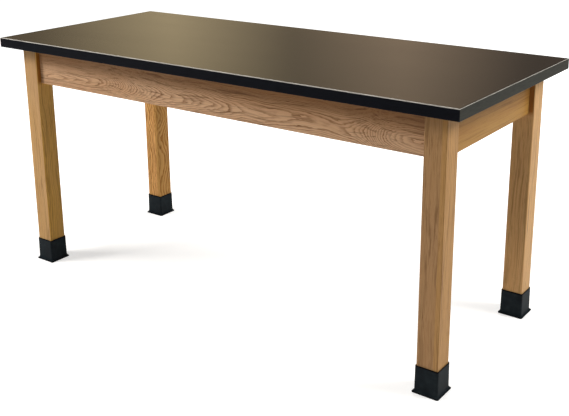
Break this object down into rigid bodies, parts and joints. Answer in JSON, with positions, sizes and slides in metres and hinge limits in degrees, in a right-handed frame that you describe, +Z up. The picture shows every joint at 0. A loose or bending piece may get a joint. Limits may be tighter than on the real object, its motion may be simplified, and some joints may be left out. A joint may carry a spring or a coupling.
{
  "type": "laboratory table",
  "caption": "Wood-framed laboratory table with a black laminated worktop, square legs, aprons and rubber leg shoes that hide screw levellers.",
  "frame": {"origin": "on the floor under the middle of the worktop", "axes": "+X along the table's length to the right, +Y to its back, +Z up"},
  "size_m": [1.6, 0.68, 0.762],
  "materials": {
    "black_laminate": "satin high-pressure laminate",
    "black_edge_band": "satin moulded edge",
    "particle_board": "raw board",
    "backer_sheet": "matt backing sheet",
    "apron_wood": "clear satin lacquer on flat-sawn hardwood",
    "leg_wood": "clear satin lacquer on glued hardwood strips",
    "zinc_plated_steel": "bright zinc plate",
    "nylon": "moulded nylon",
    "shoe_rubber": "moulded rubber"
  },
  "bodies": {
    "frame": {"worktop_laminate": "black_laminate", "edge_band_front": "black_edge_band", "edge_band_back": "black_edge_band", "edge_band_left": "black_edge_band", "edge_band_right": "black_edge_band", "top_core": "particle_board", "underside_backer": "backer_sheet", "front_apron": "apron_wood", "back_apron": "apron_wood", "left_end_apron": "apron_wood", "right_end_apron": "apron_wood", "hanger_bolts": "zinc_plated_steel", "hanger_washers": "zinc_plated_steel", "hanger_nuts": "zinc_plated_steel", "bracket_screws": "zinc_plated_steel", "top_clips": "zinc_plated_steel", "top_clip_screws": "zinc_plated_steel", "leg_front_left": "leg_wood", "corner_bracket_front_left": "zinc_plated_steel", "leveller_insert_front_left": "zinc_plated_steel", "leg_front_right": "leg_wood", "corner_bracket_front_right": "zinc_plated_steel", "leveller_insert_front_right": "zinc_plated_steel", "leg_back_left": "leg_wood", "corner_bracket_back_left": "zinc_plated_steel", "leveller_insert_back_left": "zinc_plated_steel", "leg_back_right": "leg_wood", "corner_bracket_back_right": "zinc_plated_steel", "leveller_insert_back_right": "zinc_plated_steel"},
    "shoe_front_left": {"leg_shoe_front_left": "shoe_rubber"},
    "pad_front_left": {"leveller_pad_front_left": "nylon"},
    "stem_front_left": {"leveller_stem_front_left": "zinc_plated_steel"},
    "shoe_front_right": {"leg_shoe_front_right": "shoe_rubber"},
    "pad_front_right": {"leveller_pad_front_right": "nylon"},
    "stem_front_right": {"leveller_stem_front_right": "zinc_plated_steel"},
    "shoe_back_left": {"leg_shoe_back_left": "shoe_rubber"},
    "pad_back_left": {"leveller_pad_back_left": "nylon"},
    "stem_back_left": {"leveller_stem_back_left": "zinc_plated_steel"},
    "shoe_back_right": {"leg_shoe_back_right": "shoe_rubber"},
    "pad_back_right": {"leveller_pad_back_right": "nylon"},
    "stem_back_right": {"leveller_stem_back_right": "zinc_plated_steel"}
  },
  "joints": [
    {"name": "shoe_slide_front_left", "type": "slide", "parent": "frame", "child": "shoe_front_left", "axis": [0, 0, 1], "range_m": [0, 0.045]},
    {"name": "leveller_travel_front_left", "type": "slide", "parent": "frame", "child": "pad_front_left", "axis": [0, 0, -1], "range_m": [0, 0.015]},
    {"name": "leveller_turn_front_left", "type": "hinge", "parent": "pad_front_left", "child": "stem_front_left", "pos_m": [-0.72, -0.264, 0.03], "axis": [0, 0, -1], "range_deg": [0, 3601]},
    {"name": "shoe_slide_front_right", "type": "slide", "parent": "frame", "child": "shoe_front_right", "axis": [0, 0, 1], "range_m": [0, 0.045]},
    {"name": "leveller_travel_front_right", "type": "slide", "parent": "frame", "child": "pad_front_right", "axis": [0, 0, -1], "range_m": [0, 0.015]},
    {"name": "leveller_turn_front_right", "type": "hinge", "parent": "pad_front_right", "child": "stem_front_right", "pos_m": [0.72, -0.264, 0.03], "axis": [0, 0, -1], "range_deg": [0, 3601]},
    {"name": "shoe_slide_back_left", "type": "slide", "parent": "frame", "child": "shoe_back_left", "axis": [0, 0, 1], "range_m": [0, 0.045]},
    {"name": "leveller_travel_back_left", "type": "slide", "parent": "frame", "child": "pad_back_left", "axis": [0, 0, -1], "range_m": [0, 0.015]},
    {"name": "leveller_turn_back_left", "type": "hinge", "parent": "pad_back_left", "child": "stem_back_left", "pos_m": [-0.72, 0.264, 0.03], "axis": [0, 0, -1], "range_deg": [0, 3601]},
    {"name": "shoe_slide_back_right", "type": "slide", "parent": "frame", "child": "shoe_back_right", "axis": [0, 0, 1], "range_m": [0, 0.045]},
    {"name": "leveller_travel_back_right", "type": "slide", "parent": "frame", "child": "pad_back_right", "axis": [0, 0, -1], "range_m": [0, 0.015]},
    {"name": "leveller_turn_back_right", "type": "hinge", "parent": "pad_back_right", "child": "stem_back_right", "pos_m": [0.72, 0.264, 0.03], "axis": [0, 0, -1], "range_deg": [0, 3601]}
  ],
  "couplings": [
    {"joint": "leveller_turn_front_left", "follows": "leveller_travel_front_left", "rad_per_m": 4188.8},
    {"joint": "leveller_turn_front_right", "follows": "leveller_travel_front_right", "rad_per_m": 4188.8},
    {"joint": "leveller_turn_back_left", "follows": "leveller_travel_back_left", "rad_per_m": 4188.8},
    {"joint": "leveller_turn_back_right", "follows": "leveller_travel_back_right", "rad_per_m": 4188.8}
  ]
}
